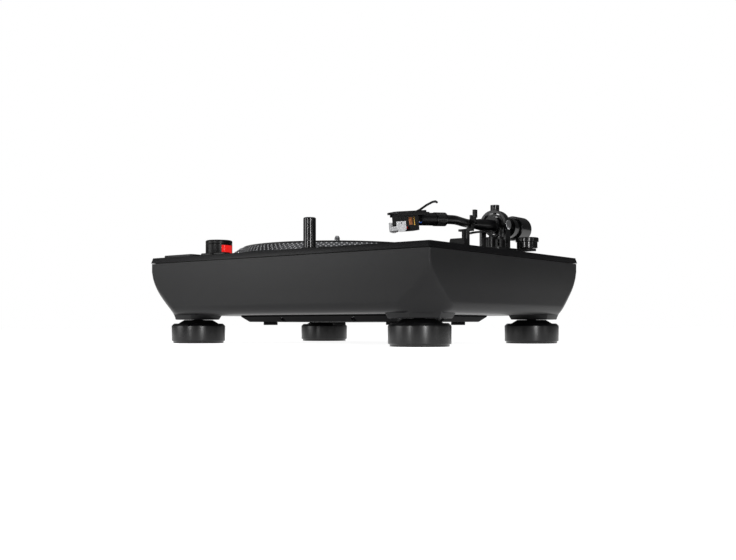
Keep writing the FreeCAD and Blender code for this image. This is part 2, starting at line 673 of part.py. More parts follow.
# ---- arm rest ----------------------------------------------------------------------------------------
rest_tube_z = tube_z(rest_y)
rest_gap = 2.1
rest_wall = 2.8
rest_length = 6.4
rest_inner = tube_radius + rest_gap
rest_floor = rest_tube_z - rest_inner - rest_wall
rest_top = 163.0
rest_post_radius = 5.0
rest = cylinder(rest_post_radius, rest_floor + 2 - deck_top, rest_x, rest_y, deck_top)
rest = rest.fuse(cylinder(10, 2.5, rest_x, rest_y, deck_top))
floor_reach = 9.2
heel_start = 1.5
wall_x = rest_x + rest_inner + rest_wall
saddle = Part.makeBox(wall_x - rest_x - heel_start, rest_length, rest_tube_z - rest_floor,
                      V(rest_x + heel_start, rest_y - rest_length / 2, rest_floor))
saddle = saddle.cut(cylinder(rest_inner, rest_length, rest_x, rest_y - rest_length / 2, rest_tube_z, Y_AXIS))
saddle = saddle.fuse(Part.makeBox(floor_reach + heel_start, rest_length, rest_wall,
                                  V(rest_x - floor_reach, rest_y - rest_length / 2, rest_floor)))
outer_wall = block(rest_wall, rest_length, rest_top - rest_floor, rest_x + rest_inner + rest_wall / 2, rest_y, rest_floor)
rest = join(rest, saddle, outer_wall)
clip_axis_x = rest_x + rest_inner + rest_wall + 2.4
clip_axis_z = rest_tube_z + 1.0
ear = block(5.4, rest_length, 6.0, clip_axis_x - 0.3, rest_y, clip_axis_z - 3.0)
clip_width = 3.6
ear = ear.cut(block(12, clip_width + 2 * moving_gap, 10, clip_axis_x, rest_y, clip_axis_z - 5))
rest = rest.fuse(ear)
rest = rest.cut(cylinder(1.0, rest_length, clip_axis_x, rest_y - rest_length / 2, clip_axis_z, Y_AXIS))
parts["arm_rest"] = rest.removeSplitter()
clip_reach = 15.0
clip_pad = 4.0
clip_pad_width = 5.5
clip_pad_start = 5.0
clip = cylinder(1.6, clip_width, clip_axis_x, rest_y - clip_width / 2, clip_axis_z, Y_AXIS)
clip = clip.fuse(cylinder(1.0 - running_clearance, rest_length, clip_axis_x, rest_y - rest_length / 2, clip_axis_z,
                          Y_AXIS))
clip = clip.fuse(block(2.0, clip_width, clip_reach, clip_axis_x + 0.8, rest_y, clip_axis_z))
clip = clip.fuse(block(clip_pad, clip_pad_width, clip_reach - clip_pad_start, clip_axis_x + 0.8, rest_y,
                       clip_axis_z + clip_pad_start))
parts["arm_rest_clip"] = clip.removeSplitter()

# ---- gimbal arch, yaw yoke, bearing housing -------------------------------------------------------------
arch_y = pivot_y - arch_depth / 2
arch_ring = tube(arch_outer, arch_inner, arch_depth, pivot_x, arch_y, pivot_z, Y_AXIS)
upper = Part.makeBox(2 * arch_outer, arch_depth, arch_outer, V(pivot_x - arch_outer, arch_y, pivot_z))
arch = arch_ring.common(upper)
leg_width = arch_outer - arch_inner
for side in (-1, 1):
    arch = arch.fuse(block(leg_width, arch_depth, pivot_z - base_top, pivot_x + side * (arch_inner + arch_outer) / 2,
                           pivot_y, base_top))
screw_bottom = pivot_z + gimbal_radius + 0.6
pivot_screw = cylinder(2.6, overall_height - 3 - screw_bottom, pivot_x, pivot_y, screw_bottom)
knob = cylinder(knob_radius, overall_height - pivot_z - arch_outer + 4.0, pivot_x, pivot_y, pivot_z + arch_outer - 4.0)
arch = arch.fuse(pivot_screw).fuse(knob)
arch = arch.cut(cylinder(pivot_pin_radius + running_clearance, 3.0, pivot_x, pivot_y, screw_bottom))
parts["gimbal_arch"] = arch.removeSplitter()

yoke = tube(gimbal_radius, gimbal_inner, gimbal_depth, pivot_x, pivot_y - gimbal_depth / 2, pivot_z, Y_AXIS)
stem_top = pivot_z - gimbal_radius + 1.5
stem_bottom = drum_top + moving_gap
yoke = yoke.fuse(cylinder(3.4, stem_top - stem_bottom, pivot_x, pivot_y, stem_bottom))
pin_bottom = drum_top - drum_bore + moving_gap
yoke = yoke.fuse(cylinder(pivot_pin_radius, stem_bottom + 1.0 - pin_bottom, pivot_x, pivot_y, pin_bottom))
yoke = yoke.fuse(cylinder(pivot_pin_radius, 3.0, pivot_x, pivot_y, pivot_z + gimbal_radius - 0.8))
trunnion_radius = 1.5
bearing_screw_radius = 4.35
screw_gap = 1.0
bearing_screw_end = arch_inner - screw_gap
for side in (-1, 1):
    low = min(side * gimbal_inner, side * bearing_screw_end)
    yoke = yoke.fuse(cylinder(bearing_screw_radius, bearing_screw_end - gimbal_inner, pivot_x + low, pivot_y, pivot_z,
                              X_AXIS))
yoke = yoke.cut(cylinder(trunnion_radius + running_clearance, 60, pivot_x - 30, pivot_y, pivot_z, X_AXIS))
parts["yaw_yoke"] = yoke.removeSplitter()

housing_front = pivot_y - housing_front_length
tail_front = pivot_y + housing_back_length
sleeve_start = housing_front - sleeve_length
weight_back = weight_front + weight_length
tail_end = weight_back - weight_back_wall - 4.0
housing = cylinder(housing_radius, tail_front - housing_front, pivot_x, housing_front, pivot_z, Y_AXIS)
sleeve_way = V(0, -1, -tube_slope).normalize()
sleeve_root = V(pivot_x, housing_front + 1.0, tube_z(housing_front + 1.0))
housing = housing.fuse(Part.makeCylinder(sleeve_radius, sleeve_length, sleeve_root, sleeve_way))
taper_root = sleeve_root + sleeve_way * sleeve_length
housing = housing.fuse(Part.makeCone(sleeve_radius, tube_radius + 0.2, sleeve_taper, taper_root, sleeve_way))
housing = housing.fuse(cylinder(trunnion_radius, 2 * gimbal_radius - 1.0, pivot_x - gimbal_radius + 0.5, pivot_y,
                                pivot_z, X_AXIS))
housing = housing.fuse(cylinder(stub_radius, tail_end - tail_front, pivot_x, tail_front, pivot_z, Y_AXIS))

# ---- arm tube: an S of straight runs and tangent arcs ------------------------------------------------------
tube_socket = 6.0
tube_points = [(pivot_x, sleeve_start + tube_socket), (pivot_x + 1.6, 22.0), (pivot_x + 28.0, -49.3), (head_x, head_y)]
bend_radius = 62.0
front_bend_radius = 34.0


def arm_point(x, y):
    return V(x, y, tube_z(y))


def bend(before, at, after, radius):
    """The three points of an arc of this radius that rounds off the corner at 'at'."""
    back = (before - at).normalize()
    forth = (after - at).normalize()
    half = math.acos(max(-1, min(1, back.dot(forth)))) / 2
    reach = radius / math.tan(half)
    middle = (back + forth).normalize()
    centre = at + middle * (radius / math.sin(half))
    return at + back * reach, centre - middle * radius, at + forth * reach


route = [arm_point(x, y) for x, y in tube_points]
first = bend(route[0], route[1], route[2], bend_radius)
second = bend(route[1], route[2], route[3], front_bend_radius)
tube_path = Part.Wire([
    Part.makeLine(route[0], first[0]),
    Part.Arc(first[0], first[1], first[2]).toShape(),
    Part.makeLine(first[2], second[0]),
    Part.Arc(second[0], second[1], second[2]).toShape(),
    Part.makeLine(second[2], route[3]),
])
start_way = (route[1] - route[0]).normalize()
outer_circle = Part.Wire(Part.makeCircle(tube_radius, route[0], start_way))
inner_circle = Part.Wire(Part.makeCircle(tube_radius - tube_wall, route[0], start_way))
arm = tube_path.makePipeShell([outer_circle], True, True)
parts["bearing_housing"] = housing.cut(arm)
parts["arm_tube"] = arm.cut(tube_path.makePipeShell([inner_circle], True, True))
head_way = (route[3] - second[2]).normalize()
print("arm tube radii", bend_radius, front_bend_radius, "runs",
      [round(v, 1) for v in ((route[0] - first[0]).Length, (first[2] - second[0]).Length, (second[2] - route[3]).Length)])

# ---- headshell, in its own frame: u forward, v to the arm's left, w up ----------------------------------------
head_start = route[3]
forward = head_way
side_way = UP.cross(forward).normalize()
head_up = forward.cross(side_way).normalize()
head_frame = FreeCAD.Placement(FreeCAD.Matrix(
    forward.x, side_way.x, head_up.x, head_start.x,
    forward.y, side_way.y, head_up.y, head_start.y,
    forward.z, side_way.z, head_up.z, head_start.z,
    0, 0, 0, 1))


def in_head(shape):
    placed = shape.copy()
    placed.Placement = head_frame.multiply(placed.Placement)
    return placed


collar_length = 15.0
collar_overhang = 2.0
locking_radius = 8.2
collet = tube(locking_radius, tube_radius + moving_gap, collar_length, collar_overhang - collar_length, 0, 0, X_AXIS)
knurls = []
for i in range(24):
    ky, kz = polar(0, 0, locking_radius + 0.35, 360 * i / 24)
    knurls.append(cylinder(0.7, collar_length - 4, collar_overhang + 2 - collar_length, ky, kz, X_AXIS))
parts["locking_collar"] = in_head(collet.cut(group(knurls)))

# The shell's plate lies above the tube's line and tips down towards the stylus.
neck_length = 23.0
spigot = 6.0
plate_offset = 8.0
plate_frame = FreeCAD.Placement(V(plate_offset, 0, shell_lift), FreeCAD.Rotation(Y_AXIS, shell_pitch_deg))


def in_shell(shape):
    placed = shape.copy()
    placed.Placement = plate_frame.multiply(placed.Placement)
    return in_head(placed)


shell_back = 9.0
shell_front = 54.0
shell_width = 20.0
shell_plate = 2.4
rib_height = 3.0
rib_width = 1.8
rib_margin = 5.0
cartridge_back = 21.0
cartridge_length = 27.0
cartridge_width = 14.6
cartridge_drop = 20.2
cartridge_step = 15.4
step_length = 14.0
bolt_spread = 6.35
bolt_u = cartridge_back + 14.0
plate = Part.makeBox(shell_front - shell_back, shell_width, shell_plate, V(shell_back, -shell_width / 2, 0))
plate = plate.makeFillet(4.0, [e for e in plate.Edges if abs(e.tangentAt(e.FirstParameter).z) > 0.99])
for side in (-1, 1):
    plate = plate.fuse(Part.makeBox(shell_front - shell_back - 2 * rib_margin, rib_width, rib_height,
                                    V(shell_back + rib_margin, side * (shell_width - rib_width) / 2 - rib_width / 2,
                                      -rib_height)))
    plate = plate.cut(Part.makeBox(14, 2.8, 10, V(bolt_u - 7, side * bolt_spread - 1.4, -4)))
neck_start = collar_overhang + moving_gap
neck_radius = 7.6
riser_width = 12.0
riser_length = 11.0
riser = Part.makeBox(riser_length, riser_width, shell_lift, V(neck_length - riser_length, -riser_width / 2, 0))
neck = cylinder(tube_radius, neck_length, 0, 0, 0, X_AXIS)
neck = neck.fuse(cylinder(neck_radius, neck_length - neck_start, neck_start, 0, 0, X_AXIS))
neck = neck.fuse(cylinder(tube_radius - tube_wall - 0.1, spigot, -spigot, 0, 0, X_AXIS)).fuse(riser)
headshell = join(in_head(neck), in_shell(plate))
parts["headshell"] = headshell
lift_root = shell_width / 2 - 1.0
lift_points = [(24, lift_root, 1.2), (21.5, lift_root + 4, 2.8), (15.5, lift_root + 9, 7.2), (9, lift_root + 12.5, 10.3),
               (6, lift_root + 14, 10.6), (4.5, lift_root + 14.6, 9.5)]
lift_radius = 1.3
lift_rods = []
for a, b in zip(lift_points, lift_points[1:]):
    way = V(*b) - V(*a)
    lift_rods.append(Part.makeCylinder(lift_radius, way.Length, V(*a), way))
    lift_rods.append(Part.makeSphere(lift_radius, V(*b)))
parts["finger_lift"] = in_shell(join(*lift_rods)).cut(headshell)

body_low = -cartridge_step
cartridge = Part.makeBox(cartridge_length, cartridge_width, cartridge_step,
                         V(cartridge_back, -cartridge_width / 2, body_low))
cartridge_front = cartridge_back + cartridge_length
front_low = [e for e in cartridge.Edges if abs(e.CenterOfMass.x - cartridge_front) < 1e-6
             and abs(e.CenterOfMass.z - body_low) < 1e-6]
cartridge = cartridge.makeChamfer(3.0, front_low)
cartridge = cartridge.fuse(Part.makeBox(cartridge_length - step_length, cartridge_width, cartridge_drop,
                                        V(cartridge_back, -cartridge_width / 2, -cartridge_drop)))
guard_axis_u = cartridge_front - 2.0
guard_axis_w = -11.0
guard_pin = 0.8
guard_inner = cartridge_width / 2 + 0.5
guard_wall = 1.2
guard_floor = 0.8
guard_reach = 10.2
guard_front = cartridge_front + 4.2
cartridge = cartridge.fuse(cylinder(guard_pin, 2 * (guard_inner + guard_wall), guard_axis_u, -guard_inner - guard_wall,
                                    guard_axis_w, Y_AXIS))
parts["cartridge"] = in_shell(cartridge)
leads = []
lead_radius = 0.6
lead_start = 13.0
for i in range(4):
    ly = 1.6 * (2 * i - 3)
    lead_w = -6.0 - 2.2 * (i % 2)
    leads.append(cylinder(lead_radius, cartridge_back - lead_start, lead_start, ly, lead_w, X_AXIS))
parts["headshell_leads"] = group([in_shell(lead).cut(headshell) for lead in leads])

# ---- stylus assembly and its swinging guard ------------------------------------------------------------------------
holder_u = cartridge_front - step_length + 0.5
holder_height = 2.0
holder_length = 9.5
holder_width = 7.0
holder = Part.makeBox(holder_length, holder_width, holder_height, V(holder_u, -holder_width / 2, body_low - holder_height))
stylus_u = 47.0
tip_w = -20.9
cantilever_root = V(holder_u + holder_length - 1, 0, body_low - holder_height / 2)
to_tip = V(stylus_u, 0, tip_w + 0.5) - cantilever_root
cantilever = Part.makeCylinder(0.35, to_tip.Length, cantilever_root, to_tip)
point = Part.makeCone(0.0, 0.35, 0.8, V(stylus_u, 0, tip_w), UP)
parts["stylus"] = in_shell(join(holder, cantilever, point))
guard_low = guard_axis_w - guard_reach
guard_width = 2 * (guard_inner + guard_wall)
guard_lip_height = 7.0
guard_lip = 1.0
lip_back = cartridge_front + 0.8
guard = Part.makeBox(guard_front - lip_back, guard_width, guard_floor, V(lip_back, -guard_width / 2, guard_low))
guard = guard.fuse(Part.makeBox(guard_lip, guard_width, guard_lip_height,
                                V(guard_front - guard_lip, -guard_width / 2, guard_low)))
cheek_half = guard_front - guard_axis_u
for side in (-1, 1):
    cheek_y = side * (guard_inner + guard_wall / 2) - guard_wall / 2
    guard = guard.fuse(Part.makeBox(2 * cheek_half, guard_wall, guard_reach + 2,
                                    V(guard_axis_u - cheek_half, cheek_y, guard_low)))
guard = guard.common(cylinder(guard_reach, guard_width, guard_axis_u, -guard_width / 2, guard_axis_w, Y_AXIS))
guard = guard.cut(cylinder(guard_pin + running_clearance, 40, guard_axis_u, -20, guard_axis_w, Y_AXIS))
parts["stylus_guard"] = in_shell(guard.removeSplitter())

# ---- counterweight train ---------------------------------------------------------------------------------------------
sleeve_front = weight_front + 1.0
sleeve = tube(weight_bore - running_clearance, stub_radius + running_clearance,
              weight_back - weight_back_wall - moving_gap - sleeve_front, pivot_x, sleeve_front, pivot_z, Y_AXIS)
parts["weight_sleeve"] = sleeve
weight = cylinder(weight_radius, weight_length - dial_length, pivot_x, weight_front + dial_length, pivot_z, Y_AXIS)
rims = [e for e in weight.Edges if len(e.Vertexes) == 1]
weight = weight.makeChamfer(0.8, rims)
weight = weight.cut(cylinder(weight_bore, weight_length - dial_length - weight_back_wall, pivot_x,
                             weight_front + dial_length, pivot_z, Y_AXIS))
parts["counterweight"] = weight
parts["force_dial"] = tube(dial_radius, weight_bore, dial_length - moving_gap, pivot_x, weight_front, pivot_z, Y_AXIS)

# ---- anti-skating dial -------------------------------------------------------------------------------------------------
lip_inset = 1.5
anti_chamfer = 0.8
anti = revolve([(0, anti_bottom), (anti_radius - lip_inset, anti_bottom), (anti_radius - lip_inset, anti_split),
                (anti_radius, anti_split), (anti_radius, anti_top - anti_chamfer),
                (anti_radius - anti_chamfer, anti_top), (0, anti_top)], anti_x, anti_y)
parts["anti_skate_dial"] = anti.cut(cylinder(anti_post + running_clearance, 6.5, anti_x, anti_y, anti_bottom))
parts["plinth_shell"] = plinth
parts["top_deck"] = deck

os.makedirs("parts", exist_ok=True)
for name, shape in parts.items():
    if len(shape.Solids) == 1:
        shape = shape.Solids[0]
    if not shape.isValid():
        print("invalid", name)
    shape.exportStep("parts/" + name + ".step")
print(len(parts), "nodes")
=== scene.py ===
# A direct-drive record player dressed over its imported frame. Metres, Z up, origin between the feet.
import json
import math
import bpy
import bmesh
from mathutils import Matrix, Vector


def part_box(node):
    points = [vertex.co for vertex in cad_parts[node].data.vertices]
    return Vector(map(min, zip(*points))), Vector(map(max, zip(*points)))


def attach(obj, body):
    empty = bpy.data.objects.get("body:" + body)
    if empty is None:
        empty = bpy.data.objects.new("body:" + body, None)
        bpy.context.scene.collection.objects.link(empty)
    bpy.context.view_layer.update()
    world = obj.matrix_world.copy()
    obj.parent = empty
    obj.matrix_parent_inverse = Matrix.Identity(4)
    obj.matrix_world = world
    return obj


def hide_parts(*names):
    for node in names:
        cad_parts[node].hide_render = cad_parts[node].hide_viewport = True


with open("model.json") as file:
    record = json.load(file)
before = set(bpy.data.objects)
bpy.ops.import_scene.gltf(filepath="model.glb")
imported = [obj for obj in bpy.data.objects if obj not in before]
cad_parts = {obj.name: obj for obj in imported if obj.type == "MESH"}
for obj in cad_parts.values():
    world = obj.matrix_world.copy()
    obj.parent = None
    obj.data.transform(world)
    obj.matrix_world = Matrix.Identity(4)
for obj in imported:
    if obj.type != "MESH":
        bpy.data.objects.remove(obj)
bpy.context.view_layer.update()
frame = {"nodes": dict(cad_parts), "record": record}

mm = 0.001
print("frame loaded", len(frame["nodes"]), "nodes")

# camera, and helpers for colours and shader nodes

cameraSettings = {"place": (0.797, -1.0119, 0.02287), "turn": 0.661, "lens": 46.54,
                  "shiftX": -0.0024, "shiftY": 0.0628}
cameraData = bpy.data.cameras.new("camera")
cameraData.sensor_width = 36.0
cameraData.lens = cameraSettings["lens"]
cameraData.shift_x = cameraSettings["shiftX"]
cameraData.shift_y = cameraSettings["shiftY"]
cameraData.clip_start = 0.01
camera = bpy.data.objects.new("camera", cameraData)
camera.location = cameraSettings["place"]
camera.rotation_euler = (math.pi / 2, 0, cameraSettings["turn"])
bpy.context.scene.collection.objects.link(camera)
bpy.context.scene.camera = camera


def linear(hexValue):
    # sRGB hex to linear RGBA
    text = hexValue.lstrip("#")
    channels = [int(text[i:i + 2], 16) / 255 for i in (0, 2, 4)]
    return [c / 12.92 if c <= 0.04045 else ((c + 0.055) / 1.055) ** 2.4 for c in channels] + [1.0]


def addNode(tree, kind, settings=None, values=None, links=None):
    # one shader node, with its settings, its unlinked inputs and what feeds its other inputs
    node = tree.nodes.new(kind)
    for name, value in (settings or {}).items():
        setattr(node, name, value)
    for name, value in (values or {}).items():
        node.inputs[name].default_value = value
    for name, socket in (links or {}).items():
        tree.links.new(socket, node.inputs[name])
    return node


def newMaterial(name, values):
    # a material with one Principled shader
    material = bpy.data.materials.new(name)
    material.use_nodes = True
    tree = material.node_tree
    shader = tree.nodes["Principled BSDF"]
    for key, value in values.items():
        shader.inputs[key].default_value = value
    return material, tree, shader


def addGrain(tree, shader, size, strength, depth, detail=2.0, stretch=(1, 1, 1)):
    # fine surface texture: size is one grain in metres
    place = addNode(tree, "ShaderNodeTexCoord")
    scale = addNode(tree, "ShaderNodeMapping", values={"Scale": stretch},
                    links={"Vector": place.outputs["Object"]})
    noise = addNode(tree, "ShaderNodeTexNoise",
                    values={"Scale": 1 / size, "Detail": detail, "Roughness": 0.6},
                    links={"Vector": scale.outputs["Vector"]})
    bump = addNode(tree, "ShaderNodeBump", values={"Strength": strength, "Distance": depth},
                   links={"Height": noise.outputs["Fac"]})
    tree.links.new(bump.outputs["Normal"], shader.inputs["Normal"])
    return noise


def addTone(tree, shader, low, high, size, roughLow=None, roughHigh=None):
    # slow change of colour, and of roughness, as handling and moulding leave it
    place = addNode(tree, "ShaderNodeTexCoord")
    noise = addNode(tree, "ShaderNodeTexNoise", values={"Scale": 1 / size, "Detail": 3.0},
                    links={"Vector": place.outputs["Object"]})
    ramp = addNode(tree, "ShaderNodeValToRGB", links={"Fac": noise.outputs["Fac"]})
    ramp.color_ramp.elements[0].color = linear(low)
    ramp.color_ramp.elements[0].position = 0.3
    ramp.color_ramp.elements[1].color = linear(high)
    ramp.color_ramp.elements[1].position = 0.7
    tree.links.new(ramp.outputs["Color"], shader.inputs["Base Color"])
    if roughLow is not None:
        rough = addNode(tree, "ShaderNodeMapRange", values={"To Min": roughLow, "To Max": roughHigh},
                        links={"Value": noise.outputs["Fac"]})
        tree.links.new(rough.outputs["Result"], shader.inputs["Roughness"])


# materials

# texture-painted die-cast aluminium: an even satin black with a very fine grit
deckPaint, tree, shader = newMaterial("satinPaintedAluminium",
                                      {"Roughness": 0.34, "Specular IOR Level": 0.16})
addTone(tree, shader, "#050506", "#08080a", 0.06, 0.30, 0.38)
addGrain(tree, shader, 0.5 * mm, 0.18, 0.05 * mm)

# injection-moulded ABS with a spark-eroded grain: soft broad highlights on charcoal
mouldedAbs, tree, shader = newMaterial("grainedMouldedAbs", {"Roughness": 0.38, "Specular IOR Level": 0.2})
addTone(tree, shader, "#111112", "#141415", 0.09, 0.34, 0.4)
addGrain(tree, shader, 0.6 * mm, 0.22, 0.06 * mm)

# folded sheet steel with powder coat: rough black orange peel
powderCoat, tree, shader = newMaterial("powderCoatedSteel", {"Roughness": 0.6, "Specular IOR Level": 0.06})
addTone(tree, shader, "#020203", "#040405", 0.05)
addGrain(tree, shader, 1.1 * mm, 0.35, 0.08 * mm)

# moulded nitrile rubber: dull black, slightly bloomed
softRubber, tree, shader = newMaterial("mouldedRubber", {"Roughness": 0.72, "Specular IOR Level": 0.12})
addTone(tree, shader, "#030304", "#070708", 0.015, 0.62, 0.8)
addGrain(tree, shader, 0.9 * mm, 0.3, 0.06 * mm)

# turned and lacquered foot shells: satin charcoal with a lathe finish round the side
footLacquer, tree, shader = newMaterial("satinLacqueredFoot",
                                        {"Roughness": 0.28, "Specular IOR Level": 0.42})
addTone(tree, shader, "#060607", "#09090a", 0.05, 0.26, 0.3)
addGrain(tree, shader, 0.25 * mm, 0.05, 0.01 * mm, stretch=(0.05, 0.05, 1))

# black anodised aluminium, bead blasted: dense black with a soft metallic sheen
blackAnodised, tree, shader = newMaterial("beadBlastedBlackAnodising",
                                          {"Roughness": 0.3, "Specular IOR Level": 0.3})
addTone(tree, shader, "#050506", "#0a0a0b", 0.012, 0.26, 0.36)
addGrain(tree, shader, 0.35 * mm, 0.25, 0.03 * mm)

# glossy black anodised dials and weight: turned surface that mirrors strip lights
turnedBlack, tree, shader = newMaterial("turnedBlackAnodising",
                                        {"Roughness": 0.2, "Specular IOR Level": 0.4})
addTone(tree, shader, "#050506", "#0a0a0b", 0.01, 0.16, 0.26)
addGrain(tree, shader, 0.3 * mm, 0.12, 0.02 * mm, stretch=(1, 5, 1))

# polished black acrylic tube and lacquered knobs
blackGloss, tree, shader = newMaterial("polishedBlackAcrylic",
                                       {"Roughness": 0.22, "Specular IOR Level": 0.45})
addTone(tree, shader, "#040405", "#070708", 0.02)

# satin moulded plastic of knobs and buttons
knobPlastic, tree, shader = newMaterial("satinMouldedNylon",
                                        {"Roughness": 0.36, "Specular IOR Level": 0.22})
addTone(tree, shader, "#070708", "#0c0c0d", 0.01, 0.32, 0.42)
addGrain(tree, shader, 0.4 * mm, 0.2, 0.03 * mm)

# bright chrome plating on the bearings and small screws
chromePlate, tree, shader = newMaterial("chromePlate", {"Metallic": 1.0, "Roughness": 0.1})
addTone(tree, shader, "#cfd0d3", "#e4e5e7", 0.006, 0.06, 0.14)

# ground steel of the spindle and pins
groundSteel, tree, shader = newMaterial("groundSteel", {"Metallic": 1.0, "Roughness": 0.18})
addTone(tree, shader, "#b8b9bb", "#cfd0d2", 0.004, 0.14, 0.24)
addGrain(tree, shader, 0.3 * mm, 0.1, 0.02 * mm, stretch=(1, 1, 8))

# needle felt of the slipmat: matted fibres that catch light at the edge
needleFelt, tree, shader = newMaterial("needleFelt",
                                       {"Roughness": 0.95, "Sheen Weight": 0.5, "Sheen Roughness": 0.5})
addTone(tree, shader, "#0a0a0b", "#1a1a1c", 0.0016)
addGrain(tree, shader, 0.7 * mm, 0.9, 0.35 * mm, detail=6.0)

# red polycarbonate strobe window, lit from inside by a small lamp
windowGlow = {"Emission Color": linear("#ff2420"), "Emission Strength": 0.6}
redWindow, tree, shader = newMaterial("redPolycarbonate", {"Roughness": 0.12, "Coat Weight": 0.5, **windowGlow})
addTone(tree, shader, "#a81410", "#c01c16", 0.004)

# clear polystyrene guard, milky from its moulding
milkyGuard, tree, shader = newMaterial("milkyPolystyrene",
                                       {"Roughness": 0.16, "Transmission Weight": 0.35, "IOR": 1.55})
addTone(tree, shader, "#d9dadc", "#f4f4f6", 0.002, 0.1, 0.3)

# machined brass and bare fibreglass board, hidden inside the plinth
turnedBrass, tree, shader = newMaterial("turnedBrass", {"Metallic": 1.0, "Roughness": 0.28})
addTone(tree, shader, "#b08a3c", "#c9a24e", 0.008, 0.22, 0.34)
fibreBoard, tree, shader = newMaterial("greenFibreglassBoard", {"Roughness": 0.4, "Coat Weight": 0.4})
addTone(tree, shader, "#0d3b22", "#14502e", 0.005, 0.35, 0.5)
addGrain(tree, shader, 0.8 * mm, 0.3, 0.04 * mm)
darkIron, tree, shader = newMaterial("sinteredFerrite", {"Metallic": 0.4, "Roughness": 0.55})
addTone(tree, shader, "#26262a", "#34343a", 0.01, 0.48, 0.62)
addGrain(tree, shader, 0.8 * mm, 0.4, 0.05 * mm)


def turnedPlatter():
    # diamond-turned aluminium: fine concentric rings round the spindle
    material, tree, shader = newMaterial("diamondTurnedAluminium", {"Metallic": 1.0, "Roughness": 0.24})
    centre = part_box("spindle")
    middle = (centre[0] + centre[1]) / 2
    place = addNode(tree, "ShaderNodeTexCoord")
    shift = addNode(tree, "ShaderNodeMapping", values={"Location": (-middle.x, -middle.y, 0)},
                    links={"Vector": place.outputs["Object"]})
    ringPitch = 1.2 * mm
    rings = addNode(tree, "ShaderNodeTexWave", {"wave_type": "RINGS", "rings_direction": "Z"},
                    {"Scale": 1 / (20 * ringPitch) * 2 * math.pi, "Distortion": 0.4, "Detail": 2.0},
                    {"Vector": shift.outputs["Vector"]})
    bump = addNode(tree, "ShaderNodeBump", values={"Strength": 0.25, "Distance": 0.03 * mm},
                   links={"Height": rings.outputs["Fac"]})
    tree.links.new(bump.outputs["Normal"], shader.inputs["Normal"])
    tone = addNode(tree, "ShaderNodeMixRGB",
                   values={"Color1": linear("#4c4d50"), "Color2": linear("#737478")},
                   links={"Fac": rings.outputs["Fac"]})
    tree.links.new(tone.outputs["Color"], shader.inputs["Base Color"])
    return material


platterAluminium = turnedPlatter()
leadColours = {"red": "#b3201c", "white": "#dcdcdc", "blue": "#1f4fa8", "green": "#1d8a45"}
leadPvc = {}
for colourName, hexValue in leadColours.items():
    # extruded PVC insulation: slightly glossy, even colour
    leadPvc[colourName], tree, shader = newMaterial(colourName + "ExtrudedPvc", {"Roughness": 0.35})
    addTone(tree, shader, hexValue, hexValue, 0.01, 0.3, 0.45)
ceramicBrown, tree, shader = newMaterial("copperCoilWindow", {"Metallic": 0.5, "Roughness": 0.3})
addTone(tree, shader, "#7a4a2a", "#a8683a", 0.0015, 0.25, 0.4)
print("materials made", len(bpy.data.materials))

# light and floor


def areaLight(name, place, target, sizeX, sizeY, power):
    data = bpy.data.lights.new(name, "AREA")
    data.shape = "RECTANGLE"
    data.size = sizeX
    data.size_y = sizeY
    data.energy = power
    light = bpy.data.objects.new(name, data)
    light.location = place
    light.rotation_euler = (Vector(target) - Vector(place)).to_track_quat("-Z", "Y").to_euler()
    bpy.context.scene.collection.objects.link(light)
    return light


areaLight("keySoftbox", (-1.6, -1.9, 0.55), (0, -0.17, 0.07), 1.0, 0.9, 13)
areaLight("topSoftbox", (0, -0.2, 2.6), (0, -0.2, 0), 4.0, 4.0, 20)
areaLight("cornerStrip", (1.25, -0.87, 0.35), (0.228, -0.176, 0.09), 0.04, 0.7, 9.0)
areaLight("frontStrip", (0.15, -1.7, 0.3), (0.18, -0.13, 0.03), 0.08, 0.5, 5.0)
areaLight("rightStrip", (1.8, 0.1, 0.3), (0.18, -0.1, 0.03), 0.08, 0.5, 0.7)

# the studio sweep is white to look at, and lights the object more softly than it looks
world = bpy.data.worlds.new("studio")
world.use_nodes = True
sky = world.node_tree
seen = addNode(sky, "ShaderNodeLightPath")
dim = sky.nodes["Background"]
dim.inputs["Color"].default_value = (1, 1, 1, 1)
dim.inputs["Strength"].default_value = 0.09
plain = addNode(sky, "ShaderNodeBackground", values={"Color": (1, 1, 1, 1), "Strength": 1.0})
both = addNode(sky, "ShaderNodeMixShader")
sky.links.new(seen.outputs["Is Camera Ray"], both.inputs[0])
sky.links.new(dim.outputs["Background"], both.inputs[1])
sky.links.new(plain.outputs["Background"], both.inputs[2])
sky.links.new(both.outputs["Shader"], sky.nodes["World Output"].inputs["Surface"])
bpy.context.scene.world = world
bpy.context.scene.view_settings.view_transform = "Standard"

floorFinish = {"Roughness": 0.7, "Base Color": linear("#f6f6f6"), "Specular IOR Level": 0.1,
               "Emission Color": (1, 1, 1, 1), "Emission Strength": 0.92}
floorMaterial, tree, shader = newMaterial("paintedStudioFloor", floorFinish)
floorMesh = bpy.data.meshes.new("floor")
bm = bmesh.new()
bmesh.ops.create_grid(bm, x_segments=1, y_segments=1, size=9.0)
bm.to_mesh(floorMesh)
bm.free()
floor = bpy.data.objects.new("floor", floorMesh)
floor.data.materials.append(floorMaterial)
bpy.context.scene.collection.objects.link(floor)

# helpers for pieces


def bodyOf(node):
    for body, nodes in frame["record"]["behaviour"]["bodies"].items():
        if node in nodes:
            return body
    return None


def addPiece(name, bm, material, body, smooth=35):
    # a finished piece: normals out, soft shading, riding on its body
    bmesh.ops.remove_doubles(bm, verts=bm.verts, dist=0.002 * mm)
    bmesh.ops.recalc_face_normals(bm, faces=bm.faces)
    mesh = bpy.data.meshes.new(name)
    bm.to_mesh(mesh)
    bm.free()
    mesh.materials.append(material)
    mesh.shade_smooth()
    mesh.set_sharp_from_angle(angle=math.radians(smooth))
    piece = bpy.data.objects.new(name, mesh)
    bpy.context.scene.collection.objects.link(piece)
    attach(piece, body)
    return piece


